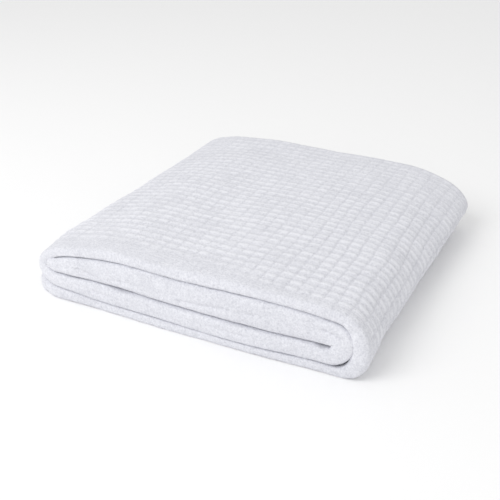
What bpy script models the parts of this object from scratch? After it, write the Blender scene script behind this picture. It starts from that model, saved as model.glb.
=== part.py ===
"""A white waffle-weave cotton blanket, folded for the shelf.

The cloth is one sheet. It is folded lengthwise into a strip four plies thick, whose closed edge is the
front. The strip is then folded across itself four times, so that its five layers lie in a flat spiral:
the bottom, round the right side to the top, round the left side to the third layer, and in again.

Every point of the cloth has two numbers. "along" runs down the strip, through its layers and turns.
"across" runs over the strip's section, through its plies and folds. cloth_points() turns them into a place.
Lengths are in metres, +Z is up, the front is -Y, and the pile stands on Z = 0.
"""

from collections import namedtuple

import bmesh
import bpy
import numpy as np

# ---- Driving dimensions -------------------------------------------------------------------------

PILE_WIDTH = 0.3848  # left to right, over the two rolled sides
PILE_DEPTH = 0.375  # front to back, a quarter of the 1.5 m cloth; its edges stand in from this a little
CLOTH = 0.0018  # thickness of the waffle weave when it is pressed in a pile
LAYER_GAP = 0.0006  # air between two layers of the strip
PINCH = 0.10  # how much thinner the strip gets where it turns
PINCH_LENGTH = 0.025  # over this length before each turn
NOSE = 0.85  # how far a closed edge bulges, as a share of its half thickness
CORNER = 0.035  # how far the rounded corners of the pile reach along its sides
FRONT_CORNERS = (0.011, 0.006)  # how far the front edge draws back at the left and the right corner
BACK_CORNERS = (0.005, 0.014)  # and how far the back edge does
EDGE_WAVE = 0.0010  # how far the edges wander in and out
WAVE_LONG, WAVE_DEEP = 0.151, 0.210  # lengths of the ripples along the front, and towards the back
SETTLED = 0.0002  # the lowest ply lies quite flat: what comes this near the floor touches it
STEADY_TO = -0.10  # the turns keep their front shape up to this Y, and change from here to the back
WAIST_FROM, WAIST_FULL, WAIST_TO = -0.180, -0.120, 0.170  # where they draw in: Y of its start, peak and end
SQUASHED_BY = 0.100  # the heights change from the front's to the back's up to this Y

# The surfaces between the layers, from the floor up: their heights at these places, measured from the
# pile's left side, and how far they wave up and down.
PLACES = (0.000, 0.030, 0.080, 0.190, 0.300, 0.387)
Level = namedtuple("Level", "name heights wave")
LEVELS = (
    Level("floor", (0.0000, 0.0000, 0.0000, 0.0000, 0.0000, 0.0000), 0.0000),
    Level("bottom_to_third", (0.0155, 0.0145, 0.0120, 0.0094, 0.0094, 0.0115), 0.0002),
    Level("third_to_inner", (0.0290, 0.0280, 0.0270, 0.0240, 0.0285, 0.0310), 0.0012),
    Level("inner_to_second", (0.0360, 0.0390, 0.0430, 0.0420, 0.0420, 0.0340), 0.0008),
    Level("second_to_top", (0.0390, 0.0475, 0.0590, 0.0600, 0.0615, 0.0540), 0.0008),
    Level("top", (0.0500, 0.0590, 0.0715, 0.0750, 0.0745, 0.0680), 0.0010),
)
BACK_SHARES = (1.15, 1.13, 1.06, 1.00, 0.92, 0.84)  # heights along the back, as shares of the front's

# The strip's five layers in the order in which the strip runs through them: the level under each one,
# how far its front and back edges stand in from the pile's own, and its segments.
Layer = namedtuple("Layer", "name level front_inset back_inset segments")
LAYERS = (
    Layer("bottom", 0, 0.0020, 0.0010, 6),
    Layer("top", 4, 0.0025, 0.0000, 9),
    Layer("third", 1, 0.0000, 0.0030, 8),
    Layer("second", 3, 0.0012, 0.0015, 11),
    Layer("inner", 2, 0.0030, 0.0040, 9),
)

# The turn after each layer but the last: which side it is on, where it starts, measured from the pile's
# left side, and how far its middle line reaches, at the front and at the back of the pile. Its waist is
# how far it draws in between them. How square it is goes from 0, round, to 0.1. A turn that sags is
# fullest below its middle.
Turn = namedtuple(
    "Turn", "name side start_front reach_front start_back reach_back waist square sag segments"
)
TURNS = (
    Turn("outer_right", +1, 0.353, 0.0270, 0.290, 0.0860, 0.0028, 0.02, 0.06, 9),
    Turn("outer_left", -1, 0.056, 0.0460, 0.040, 0.0310, 0.0000, 0.00, 0.12, 7),
    Turn("inner_right", +1, 0.346, 0.0150, 0.304, 0.0340, 0.0010, 0.02, 0.05, 8),
    Turn("inner_left", -1, 0.037, 0.0060, 0.037, 0.0060, 0.0000, 0.00, 0.00, 5),
)
OUTER_END = 0.000  # the cloth's outer end, under the pile's left side
INNER_END_FRONT = 0.322  # its inner end, inside the inner right turn
INNER_END_BACK = 0.294

# Along the front, the second layer's edge hangs down over the inner layer's, which stands in behind it.
HANG_LEFT = (0.040, 0.062)  # the edge starts to hang here, and hangs fully from here
HANG_RIGHT = (0.324, 0.345)  # it hangs fully up to here, and no longer from here
HANG_FROM, HANG_TO = 0.016, 0.045  # distance from the pile's front where the hang is full, and gone
HANG_SHARE = 0.92  # of the inner layer's thickness
RECESS_RATE = 4.0  # how fast the inner layer draws back where the hang begins

# A soft trough in the top layer, near the back edge on the left half.
TROUGH_X, TROUGH_Y, TROUGH_DEPTH = 0.120, 0.140, 0.0014
TROUGH_LONG, TROUGH_WIDE = 0.075, 0.020

# Segments of the mesh over the strip's section, and how much they crowd towards the ends of each piece.
PLY_SEGMENTS = 6
FOLD_SEGMENTS = (7, 4, 5)  # outer front fold, back fold, inner front fold
CROWDING = 0.45


# ---- Small helpers ------------------------------------------------------------------------------


def smooth(value, start, end):
    """0 before start, 1 after end, and an even S between them."""
    t = np.clip((value - start) / (end - start), 0.0, 1.0)
    return t * t * (3.0 - 2.0 * t)


def mix(a, b, t):
    return a + (b - a) * t


def curve(x, places, values):
    """A smooth line through the values at the places."""
    places, values = np.array(places), np.array(values)
    slopes = np.gradient(values, places)
    i = np.clip(np.searchsorted(places, x) - 1, 0, len(places) - 2)
    step = places[i + 1] - places[i]
    t = np.clip((x - places[i]) / step, 0.0, 1.0)
    straight = values[i] * (1 + 2 * t) * (1 - t) ** 2 + values[i + 1] * t * t * (3 - 2 * t)
    return straight + step * t * (1 - t) * ((1 - t) * slopes[i] - t * slopes[i + 1])


def wave(x, y, number):
    """An uneven ripple between about -1 and 1, another one for each number."""
    turn = 2.4 * number
    return (
        0.65 * np.sin(2 * np.pi * (x / WAVE_LONG + y) + turn)
        + 0.35 * np.sin(2 * np.pi * y / WAVE_DEEP + 0.9 * turn)
    )


# ---- Levels and layers --------------------------------------------------------------------------


def hang(x):
    """How much of the second layer's front edge hangs down, from 0 to 1, at x from the pile's left side."""
    return smooth(x, *HANG_LEFT) * (1.0 - smooth(x, *HANG_RIGHT))


def level_height(number, x, y):
    """Height of a level at x from the pile's left side and y from its middle."""
    level = LEVELS[number]
    height = curve(x, PLACES, level.heights)
    height = height + level.wave * wave(x, y, number)
    if level.name == "top":
        across = ((x - TROUGH_X) / TROUGH_LONG) ** 2 + ((y - TROUGH_Y) / TROUGH_WIDE) ** 2
        height = height - TROUGH_DEPTH * np.exp(-across)
    if level.name == "inner_to_second":
        from_front = y + PILE_DEPTH / 2
        near_front = 1.0 - smooth(from_front, HANG_FROM, HANG_TO)
        room = HANG_SHARE * (height - level_height(number - 1, x, y))
        height = height - hang(x) * near_front * room
    return height


def squash(x, y):
    """How much higher or lower the pile gets towards its back."""
    return mix(1.0, curve(x, PLACES, BACK_SHARES), smooth(y, -PILE_DEPTH / 2, SQUASHED_BY))


def layer_span(number, x, y):
    """Lower and upper side of a layer of the strip."""
    level = LAYERS[number].level
    low = level_height(level, x, y) * squash(x, y) + (LAYER_GAP / 2 if level else 0.0)
    high = level_height(level + 1, x, y) * squash(x, y) - LAYER_GAP / 2
    return low, high


def turn_place(number, y):
    """Where a turn starts, and how far its middle line reaches, at y."""
    turn = TURNS[number]
    t = smooth(y, STEADY_TO, PILE_DEPTH / 2)
    waist = turn.waist * smooth(y, WAIST_FROM, WAIST_FULL) * (1.0 - smooth(y, WAIST_FULL, WAIST_TO))
    start = mix(turn.start_front, turn.start_back, t)
    return start, mix(turn.reach_front, turn.reach_back, t) - waist


def layer_ends(number, y):
    """x where the strip enters a layer, and where it leaves it."""
    enters = np.full_like(y, OUTER_END) if number == 0 else turn_place(number - 1, y)[0]
    if number < len(TURNS):
        return enters, turn_place(number, y)[0]
    return enters, mix(INNER_END_FRONT, INNER_END_BACK, smooth(y, STEADY_TO, PILE_DEPTH / 2))


def layer_line(number, x, y):
    """Height of a layer's middle, and the strip's thickness there, thinner towards the turns."""
    low, high = layer_span(number, x, y)
    pinch = np.zeros_like(x)
    for turn in (number - 1, number):
        if 0 <= turn < len(TURNS):
            away = TURNS[turn].side * (turn_place(turn, y)[0] - x)
            pinch = np.maximum(pinch, 1.0 - smooth(away, 0.0, PINCH_LENGTH))
    thick = (high - low) * (1.0 - PINCH * pinch)
    if LAYERS[number].level == 0:
        return thick / 2, thick
    return (low + high) / 2, thick


def turned(t, square=0.0, sag=0.0):
    """How far out, and how far over to the other side, a half turn has come at t, both from 0 to 1."""
    angle = np.pi * t
    out = (np.sin(angle) + square * np.sin(3 * angle)) / (1.0 - square)
    over = (np.cos(angle) - square * np.cos(3 * angle)) / (1.0 - square)
    return out, (1.0 - over) / 2 + sag * np.sin(angle) ** 2


def strip_line(along, y):
    """x, z and thickness of the strip's middle line.

    Layer k is along 2k to 2k+1, and the turn after it to 2k+2.
    """
    x, z, thick = (np.zeros_like(y) for _ in range(3))
    for number in range(len(LAYERS)):
        here = (along >= 2 * number) & (along <= 2 * number + 1)
        start, end = layer_ends(number, y[here])
        x[here] = mix(start, end, along[here] - 2 * number)
        z[here], thick[here] = layer_line(number, x[here], y[here])
    for number, turn in enumerate(TURNS):
        here = (along > 2 * number + 1) & (along < 2 * number + 2)
        start, reach = turn_place(number, y[here])
        sideways, rise = turned(along[here] - 2 * number - 1, turn.square, turn.sag * -turn.side)
        z_in, thick_in = layer_line(number, start, y[here])
        z_out, thick_out = layer_line(number + 1, start, y[here])
        x[here] = start + turn.side * reach * sideways
        z[here] = mix(z_in, z_out, rise)
        thick[here] = mix(thick_in, thick_out, rise)
    return x, z, thick


def outward(along, y):
    """The direction, in X and Z, of the strip's outer side."""
    step = 1e-4
    ahead, behind = np.minimum(along + step, 2 * len(LAYERS) - 1), np.maximum(along - step, 0.0)
    x_ahead, z_ahead, _ = strip_line(ahead, y)
    x_behind, z_behind, _ = strip_line(behind, y)
    dx, dz = x_ahead - x_behind, z_ahead - z_behind
    length = np.hypot(dx, dz)
    return dz / length, -dx / length


# ---- The strip's section ------------------------------------------------------------------------


def edge_inset(along, column):
    """How far the strip's front or back edge stands in from the pile's, smoothly through the turns."""
    number = np.clip(along / 2, 0, len(LAYERS) - 1)
    low = np.floor(number).astype(int)
    high = np.minimum(low + 1, len(LAYERS) - 1)
    insets = np.array([getattr(layer, column) for layer in LAYERS])
    return mix(insets[low], insets[high], smooth(number - low, 0.5, 1.0))


def strip_edges(along):
    """y of the strip's front and back edges, with the pile's rounded corners and the edges' own waves."""
    edges = []
    for side, column, corners in ((-1, "front_inset", FRONT_CORNERS), (+1, "back_inset", BACK_CORNERS)):
        x, _, _ = strip_line(along, np.full_like(along, side * PILE_DEPTH / 2))
        left, right = (np.clip(1.0 - away / CORNER, 0.0, 1.0) ** 2 for away in (x, PILE_WIDTH - x))
        inset = edge_inset(along, column) + corners[0] * left + corners[1] * right
        inset = inset + EDGE_WAVE * (1.0 + wave(x, 0.0, side) * np.cos(along / 2))
        if side < 0:
            inner = smooth(along, 2 * len(TURNS) - 0.5, 2 * len(TURNS))
            inset = inset + inner * HANG_TO * np.minimum(1.0, RECESS_RATE * hang(x))
        edges.append(side * (PILE_DEPTH / 2 - inset))
    return edges


def section(along, across):
    """y of a point of the strip's section, and its height as a share of the half thickness.

    Ply k is across 2k to 2k+1, and the fold after it to 2k+2. The plies lie at -1, 1, 1/3 and -1/3, so
    that the outer front fold wraps the inner one, and the back fold joins the two outer plies.
    """
    front, back = strip_edges(along)
    half = (strip_line(along, front)[2] - CLOTH) / 2
    front_fold = front + NOSE * half + CLOTH / 2
    back_fold = back - half / 3 - CLOTH / 2
    plies = (
        (-1.0, back, front_fold),
        (1.0, front_fold, back_fold),
        (1 / 3, back_fold, front_fold),
        (-1 / 3, front_fold, back),
    )
    y, share = np.zeros_like(along), np.zeros_like(along)
    for number, (height, start, end) in enumerate(plies):
        here = (across >= 2 * number) & (across <= 2 * number + 1)
        y[here] = mix(start[here], end[here], across[here] - 2 * number)
        share[here] = height
    for number in range(len(plies) - 1):
        here = (across > 2 * number + 1) & (across < 2 * number + 2)
        out, over = turned(across[here] - 2 * number - 1)
        height_in, height_out = plies[number][0], plies[number + 1][0]
        bulge = abs(height_out - height_in) / 2 * half[here] * (1.0 if number == 1 else NOSE)
        way = 1.0 if number == 1 else -1.0
        y[here] = plies[number][2][here] + way * bulge * out
        share[here] = mix(height_in, height_out, over)
    return y, share


def cloth_points(along, across):
    """Places of points of the cloth's middle surface, as rows of x, y and z."""
    y, share = section(along, across)
    x, z, thick = strip_line(along, y)
    out_x, out_z = outward(along, y)
    height = share * (thick - CLOTH) / 2
    z = z + height * out_z
    z = np.where(z < CLOTH / 2 + SETTLED, CLOTH / 2, z)
    return np.stack([x + height * out_x - PILE_WIDTH / 2, y, z], axis=-1)


def stations(straight, bent):
    """All the mesh lines over straight pieces with bent ones between them, crowded at the straights' ends."""
    lines = [0.0]
    for number, segments in enumerate(straight):
        for i in range(segments):
            t = (i + 1) / segments
            lines.append(2 * number + t - CROWDING * np.sin(2 * np.pi * t) / (2 * np.pi))
        if number < len(bent):
            lines += [2 * number + 1 + (i + 1) / bent[number] for i in range(bent[number])]
    return np.array(lines)


# ---- Building -----------------------------------------------------------------------------------


def clear_scene():
    for old in list(bpy.data.objects):
        bpy.data.objects.remove(old, do_unlink=True)


def cotton_material():
    material = bpy.data.materials.new("white_waffle_cotton")
    material.use_nodes = True
    shader = material.node_tree.nodes["Principled BSDF"]
    shader.inputs["Base Color"].default_value = (0.87, 0.87, 0.89, 1.0)
    shader.inputs["Roughness"].default_value = 0.95
    shader.inputs["Metallic"].default_value = 0.0
    return material


def folded_cloth():
    """A flat grid, folded by moving each of its points, and given the cloth's thickness."""
    along = stations([layer.segments for layer in LAYERS], [turn.segments for turn in TURNS])
    across = stations([PLY_SEGMENTS] * 4, FOLD_SEGMENTS)
    bm = bmesh.new()
    bmesh.ops.create_grid(bm, x_segments=len(along) - 1, y_segments=len(across) - 1, size=0.5)
    column = np.array([round((v.co.x + 0.5) * (len(along) - 1)) for v in bm.verts])
    row = np.array([round((v.co.y + 0.5) * (len(across) - 1)) for v in bm.verts])
    for vert, place in zip(bm.verts, cloth_points(along[column], across[row])):
        vert.co = place
    bmesh.ops.triangulate(bm, faces=bm.faces)
    mesh = bpy.data.meshes.new("blanket")
    bm.to_mesh(mesh)
    bm.free()
    blanket = bpy.data.objects.new("blanket", mesh)
    shell = blanket.modifiers.new("cloth_thickness", "SOLIDIFY")
    shell.thickness = CLOTH
    shell.offset = 0.0
    shell.use_even_offset = True
    return blanket


def main():
    clear_scene()
    parts = bpy.data.collections.new("waffle_blanket")
    bpy.context.scene.collection.children.link(parts)
    blanket = folded_cloth()
    blanket.data.materials.append(cotton_material())
    blanket.data.shade_smooth()
    parts.objects.link(blanket)


main()
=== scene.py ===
# %% [markdown]
# # A waffle-weave blanket, folded for the shelf
#
# The real thing is one sheet of white cotton, about 1.5 m wide and 1.75 m long, with small square puffs
# woven into it. It is folded lengthwise into a strip four plies thick, and the strip is folded across
# itself into a flat pile. This script works out how the pile is folded, lays the sheet out flat with its
# waffle, hem and creases, folds it, dyes it white, and lights it for its picture.
#
# Lengths are in metres, +Z is up, the closed folds look towards -Y, and the pile stands on Z = 0.

# %% Load the frame
import math
from collections import namedtuple

import bmesh
import bpy
import numpy as np
from mathutils import Matrix, Vector
from mathutils.bvhtree import BVHTree


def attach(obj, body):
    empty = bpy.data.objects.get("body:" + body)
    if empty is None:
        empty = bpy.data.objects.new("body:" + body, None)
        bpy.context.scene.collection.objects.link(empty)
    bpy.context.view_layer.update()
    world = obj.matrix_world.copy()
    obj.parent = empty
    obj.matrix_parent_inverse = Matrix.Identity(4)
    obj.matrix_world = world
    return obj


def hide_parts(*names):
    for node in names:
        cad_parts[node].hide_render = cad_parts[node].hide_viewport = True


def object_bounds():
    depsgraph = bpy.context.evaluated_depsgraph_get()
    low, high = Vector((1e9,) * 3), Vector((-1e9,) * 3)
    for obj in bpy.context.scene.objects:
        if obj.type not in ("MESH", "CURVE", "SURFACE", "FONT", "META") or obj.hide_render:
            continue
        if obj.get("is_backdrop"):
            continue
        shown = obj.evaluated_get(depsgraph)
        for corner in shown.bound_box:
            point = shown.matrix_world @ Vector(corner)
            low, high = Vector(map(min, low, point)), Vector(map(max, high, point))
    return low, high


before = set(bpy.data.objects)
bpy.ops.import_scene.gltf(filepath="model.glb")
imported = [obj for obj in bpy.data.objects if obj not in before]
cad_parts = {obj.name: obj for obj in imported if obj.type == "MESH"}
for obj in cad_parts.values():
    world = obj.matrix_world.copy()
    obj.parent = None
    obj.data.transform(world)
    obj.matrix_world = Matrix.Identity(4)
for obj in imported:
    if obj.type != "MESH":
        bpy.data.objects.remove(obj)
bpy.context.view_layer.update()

# %% [markdown]
# ## The camera
#
# A picture of a plain folded pile gives its own camera away: the floor edge, the top edge and the two
# sides are known to be level and square, so their directions in the picture fix the lens, the turn and
# the tilt. It could be set by eye with a camera in the viewport, but a measured one lets every fold be
# compared with the photograph, so the numbers are written down here first.

# %% Camera
PHOTO_PX = 500  # the photograph is this wide and high
FOCAL_PX = 778.9  # the lens, measured in the photograph's own pixels
SENSOR_MM = 36.0
CLIP_START = 0.05  # nothing nearer than this is seen
CAMERA_PLACE = (0.3684, -0.7260, 0.4320)
CAMERA_TURN, CAMERA_DOWN, CAMERA_ROLL = 28.29, 27.40, -1.01  # degrees


def in_scene(name, data):
    """A new object of this name and data, in the scene."""
    thing = bpy.data.objects.new(name, data)
    bpy.context.scene.collection.objects.link(thing)
    return thing


def photo_camera():
    data = bpy.data.cameras.new("photo_camera")
    data.sensor_width = SENSOR_MM
    data.lens = FOCAL_PX / PHOTO_PX * SENSOR_MM
    data.clip_start = CLIP_START
    camera = in_scene("photo_camera", data)
    turn = Matrix.Rotation(math.radians(CAMERA_TURN), 4, "Z")
    tilt = Matrix.Rotation(math.radians(90.0 - CAMERA_DOWN), 4, "X")
    roll = Matrix.Rotation(math.radians(CAMERA_ROLL), 4, "Z")
    camera.matrix_world = Matrix.Translation(CAMERA_PLACE) @ turn @ tilt @ roll
    bpy.context.scene.camera = camera
    return camera


camera = photo_camera()
print("The lens is", round(camera.data.lens, 2), "mm")

# %% [markdown]
# ## The pile's sizes
#
# A folded cloth can be draped by simulation, but a pile of five layers with four plies each takes long
# to settle and never lands quite as in the picture. Here the fold is written down as a rule instead:
# the heights between the layers, the places where the strip turns back, and how far each turn reaches.
# The plain solid comes from the same rule, so the fine cloth lies on it. Only a few sizes at the front are
# set a little finer here, where the eye follows the lines between the bands.

# %% Sizes of the pile
PILE_WIDTH = 0.3848  # left to right, over the two rolled sides
PILE_DEPTH = 0.375  # front to back, a quarter of the 1.5 m cloth; its edges stand in from this a little
CLOTH = 0.0018  # thickness of the waffle weave when it is pressed in a pile
LAYER_GAP = 0.0006  # air between two layers of the strip
PINCH_LENGTH = 0.025  # the strip gets thinner over this length before each turn
NOSE = 0.60  # how far a closed edge bulges, as a share of its half thickness
NOSE_SQUARE = 0.09  # closed edges are rather flat, because the layers press on each other
CORNER = 0.035  # how far the rounded corners of the pile reach along its sides
FRONT_CORNERS = (0.014, 0.000)  # how far the front edge draws back at the left and the right corner
BACK_CORNERS = (-0.001, 0.014)  # and how far the back edge does
FRONT_DRAW, DRAW_FROM, DRAW_TO = 0.0035, 0.26, 0.34  # the front edge stands back by this much at its right
EDGE_WAVE = 0.0010  # how far the edges wander in and out
WAVE_LONG, WAVE_DEEP = 0.151, 0.210  # lengths of the ripples along the front, and towards the back
WAVE_SHARES = (0.65, 0.35)  # of those two ripples
WAVE_TURN, DEEP_TURN = 2.4, 0.9  # how far one ripple is shifted against the next
SETTLED = 0.0002  # the lowest ply lies quite flat: what comes this near the floor touches it
STEADY_TO = -0.10  # the turns keep their front shape up to this Y, and change from here to the back
WAIST_FROM, WAIST_FULL, WAIST_TO = -0.180, -0.120, 0.170  # where they draw in: Y of its start, peak and end
SQUASHED_BY = 0.100  # the heights change from the front's to the back's up to this Y

print("The pile is", PILE_WIDTH, "m wide and", PILE_DEPTH, "m deep, and the cloth", CLOTH, "m thick")

# %% [markdown]
# The surfaces between the layers come next, from the floor up. Each has its height at six places, measured
# from the pile's left side, and the share of it that is left at the back, read off the picture.

# %% Heights between the layers
PLACES = (0.000, 0.030, 0.080, 0.190, 0.300, 0.387)
Level = namedtuple("Level", "name heights wave")  # and how far it waves up and down
LEVELS = (
    Level("floor", (0.0,) * len(PLACES), 0.0),
    Level("bottom_to_third", (0.0155, 0.0145, 0.0120, 0.0094, 0.0094, 0.0115), 0.0002),
    Level("third_to_inner", (0.0315, 0.0322, 0.0330, 0.0300, 0.0293, 0.0310), 0.0012),
    Level("inner_to_second", (0.0360, 0.0390, 0.0430, 0.0420, 0.0420, 0.0340), 0.0008),
    Level("second_to_top", (0.0400, 0.0495, 0.0590, 0.0610, 0.0612, 0.0535), 0.0008),
    Level("top", (0.0470, 0.0600, 0.0720, 0.0750, 0.0745, 0.0680), 0.0010),
)
BACK_SHARES = (1.05, 1.045, 1.03, 0.98, 0.96, 0.82)  # heights along the back, as shares of the front's
CORNER_LIFT, LIFT_FROM, LIFT_TO = 0.06, 0.03, 0.10  # the back left corner stands higher, up to these x
FRONT_FALL, FALL_LONG = 0.0028, 0.040  # the top sinks by this much towards its front edge, over this length

# A soft trough in the top layer, near the back edge on the left half.
TROUGH_X, TROUGH_Y, TROUGH_DEPTH = 0.120, 0.140, 0.0014
TROUGH_LONG, TROUGH_WIDE = 0.075, 0.020

highest = [round(1000 * max(level.heights), 1) for level in LEVELS]
print("The levels at the front are at most", highest, "mm high")

# %% [markdown]
# The strip runs through its five layers one after the other and turns back after each but the last. A
# layer has the level under it, and how far its front and back edges stand in from the pile's own. A turn
# has its side, where it starts, measured from the pile's left side, and how far its middle line reaches,
# at the front and at the back of the pile. Its waist is how far it draws in between them.
#
# How square a turn is goes from 0, round, to 0.1. One that sags is fullest below its middle, and one that
# sags less than 0 above it. Both have another value for the turn's front end, which may also be fuller by
# some metres. Last, it is pinched by a share of its thickness.

# %% Layers and turns
Layer = namedtuple("Layer", "name level front_inset back_inset")
LAYERS = (
    Layer("bottom", 0, 0.0020, 0.0010),
    Layer("top", 4, 0.0025, 0.0000),
    Layer("third", 1, 0.0000, 0.0030),
    Layer("second", 3, 0.0012, 0.0015),
    Layer("inner", 2, 0.0030, 0.0040),
)

Turn = namedtuple(
    "Turn",
    "name side start_front reach_front start_back reach_back waist end_square square end_sag sag full pinch",
)
TURNS = (
    Turn("outer_right", +1, 0.353, 0.0268, 0.290, 0.0885, 0.0028, 0.01, -0.03, 0.05, 0.05, 0.0085, 0.10),
    Turn("outer_left", -1, 0.056, 0.0457, 0.040, 0.0310, 0.0000, -0.01, 0.01, 0.22, 0.10, 0.0000, 0.10),
    Turn("inner_right", +1, 0.346, 0.0125, 0.304, 0.0340, 0.0010, 0.00, 0.00, -0.08, -0.08, 0.0000, 0.02),
    Turn("inner_left", -1, 0.030, 0.0070, 0.037, 0.0060, 0.0000, 0.00, 0.00, 0.00, 0.00, 0.0000, 0.10),
)
END_FROM, END_TO = -0.180, -0.130  # Y over which a turn's front end changes into the rest of it
OUTER_END = 0.000  # the cloth's outer end, under the pile's left side
INNER_END_FRONT = 0.322  # its inner end, inside the inner right turn
INNER_END_BACK = 0.294

# Along the front, the second layer's edge hangs down over the inner layer's, which stands in behind it.
HANG_LEFT = (0.012, 0.030)  # the edge starts to hang here, and hangs fully from here
HANG_RIGHT = (0.352, 0.375)  # it hangs fully up to here, and no longer from here
HANG_FROM, HANG_TO = 0.016, 0.045  # distance from the pile's front where the hang is full, and gone
HANG_SHARE = 1.02  # of the inner layer's thickness
RECESS_RATE = 4.0  # how fast the inner layer draws back where the hang begins

print("The strip has", len(LAYERS), "layers and", len(TURNS), "turns")

# %% [markdown]
# ## Levels and layers
#
# Each level between two layers could be a flat plane, but then the pile would look like a stack of boards.
# It is a smooth line through a few heights instead, with a small ripple, because cloth is never quite
# even. A layer fills the room between its two levels.

# %% Levels
def smooth(value, start, end):
    """0 before start, 1 after end, and an even S between them."""
    t = np.clip((value - start) / (end - start), 0.0, 1.0)
    return t * t * (3.0 - 2.0 * t)


def mix(a, b, t):
    return a + (b - a) * t


def plateau(value, rise, fall):
    """0, then 1 between the rise and the fall, each a pair of places, then 0 again."""
    return smooth(value, *rise) * (1.0 - smooth(value, *fall))


def curve(x, places, values):
    """A smooth line through the values at the places."""
    places, values = np.array(places), np.array(values)
    slopes = np.gradient(values, places)
    i = np.clip(np.searchsorted(places, x) - 1, 0, len(places) - 2)
    step = places[i + 1] - places[i]
    t = np.clip((x - places[i]) / step, 0.0, 1.0)
    straight = values[i] * (1 + 2 * t) * (1 - t) ** 2 + values[i + 1] * t * t * (3 - 2 * t)
    return straight + step * t * (1 - t) * ((1 - t) * slopes[i] - t * slopes[i + 1])


def wave(x, y, number):
    """An uneven ripple between about -1 and 1, another one for each number."""
    turn = WAVE_TURN * number
    return (
        WAVE_SHARES[0] * np.sin(2 * np.pi * (x / WAVE_LONG + y) + turn)
        + WAVE_SHARES[1] * np.sin(2 * np.pi * y / WAVE_DEEP + DEEP_TURN * turn)
    )


def hang(x):
    """How much of the second layer's front edge hangs down, from 0 to 1, at x from the pile's left side."""
    return plateau(x, HANG_LEFT, HANG_RIGHT)


def level_height(number, x, y):
    """Height of a level at x from the pile's left side and y from its middle."""
    level = LEVELS[number]
    height = curve(x, PLACES, level.heights)
    height = height + level.wave * wave(x, y, number)
    if level.name == "top":
        across = ((x - TROUGH_X) / TROUGH_LONG) ** 2 + ((y - TROUGH_Y) / TROUGH_WIDE) ** 2
        near_front = np.clip(1.0 - (y + PILE_DEPTH / 2) / FALL_LONG, 0.0, 1.0)
        height = height - TROUGH_DEPTH * np.exp(-across) - FRONT_FALL * near_front**2
    if level.name == "inner_to_second":
        from_front = y + PILE_DEPTH / 2
        near_front = 1.0 - smooth(from_front, HANG_FROM, HANG_TO)
        room = HANG_SHARE * (height - level_height(number - 1, x, y))
        height = height - hang(x) * near_front * room
    return height


def squash(x, y):
    """How much higher or lower the pile gets towards its back."""
    share = mix(1.0, curve(x, PLACES, BACK_SHARES), smooth(y, -PILE_DEPTH / 2, SQUASHED_BY))
    corner = smooth(y, SQUASHED_BY, PILE_DEPTH / 2) * (1.0 - smooth(x, LIFT_FROM, LIFT_TO))
    return share + CORNER_LIFT * corner


def layer_span(number, x, y):
    """Lower and upper side of a layer of the strip."""
    level = LAYERS[number].level
    low = level_height(level, x, y) * squash(x, y) + (LAYER_GAP / 2 if level else 0.0)
    high = level_height(level + 1, x, y) * squash(x, y) - LAYER_GAP / 2
    return low, high


middle = np.array([PILE_WIDTH / 2])
for number, layer in enumerate(LAYERS):
    low, high = layer_span(number, middle, np.array([0.0]))
    print(f"{layer.name:>7} layer: {1000 * low[0]:5.1f} to {1000 * high[0]:5.1f} mm above the floor")

# %% [markdown]
# ## The strip's middle line
#
# The strip runs through its layers and turns like a road. It could be drawn as a curve by hand, but it has
# another course at each depth of the pile, so it is worked out from the levels. "along" counts its parts:
# layer k is 2k to 2k + 1, and the turn after it goes on to 2k + 2.

# %% The middle line
ALONG_END = 2 * len(LAYERS) - 1
ALONG_STEP = 1e-4  # the strip's direction is taken over this much on either side
LEAD = 0.010  # a turn keeps the slope of its layers over about this far
SLOPE_STEP = 0.001  # a slope is taken over this much of X on either side
SLOPE_CHANGE = (0.3, 0.7)  # share of a turn over which one layer's slope changes into the next one's
FULL_SKEW = 0.75  # a fuller front end is fullest a little before the turn's middle


def turn_place(number, y):
    """Where a turn starts, and how far its middle line reaches, at y."""
    turn = TURNS[number]
    t = smooth(y, STEADY_TO, PILE_DEPTH / 2)
    waist = turn.waist * plateau(y, (WAIST_FROM, WAIST_FULL), (WAIST_FULL, WAIST_TO))
    start = mix(turn.start_front, turn.start_back, t)
    return start, mix(turn.reach_front, turn.reach_back, t) - waist


def layer_ends(number, y):
    """x where the strip enters a layer, and where it leaves it."""
    enters = np.full_like(y, OUTER_END) if number == 0 else turn_place(number - 1, y)[0]
    if number < len(TURNS):
        return enters, turn_place(number, y)[0]
    return enters, mix(INNER_END_FRONT, INNER_END_BACK, smooth(y, STEADY_TO, PILE_DEPTH / 2))


def layer_line(number, x, y):
    """Height of a layer's middle, and the strip's thickness there, thinner towards the turns."""
    low, high = layer_span(number, x, y)
    pinch = np.zeros_like(x)
    for turn in (number - 1, number):
        if 0 <= turn < len(TURNS):
            away = TURNS[turn].side * (turn_place(turn, y)[0] - x)
            pinch = np.maximum(pinch, TURNS[turn].pinch * (1.0 - smooth(away, 0.0, PINCH_LENGTH)))
    thick = (high - low) * (1.0 - pinch)
    if LAYERS[number].level == 0:
        return thick / 2, thick
    return (low + high) / 2, thick


top_ends = [round(float(layer_ends(1, np.array([y]))[1][0]), 3) for y in (-PILE_DEPTH / 2, PILE_DEPTH / 2)]
print("The top layer ends", top_ends[0], "m from the left at the front, and", top_ends[1], "m at the back")

# %% [markdown]
# Each turn is half an ellipse, a little squared or sagged. It starts and ends with the slope of its two
# layers, or it would show a kink where they meet. That lead fades away as the turn reaches out.

# %% The turns
def turned(t, square=0.0, sag=0.0):
    """How far out, and how far over to the other side, a half turn has come at t, both from 0 to 1."""
    angle = np.pi * t
    out = (np.sin(angle) + square * np.sin(3 * angle)) / (1.0 - square)
    over = (np.cos(angle) - square * np.cos(3 * angle)) / (1.0 - square)
    return out, (1.0 - over) / 2 + sag * np.sin(angle) ** 2


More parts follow.
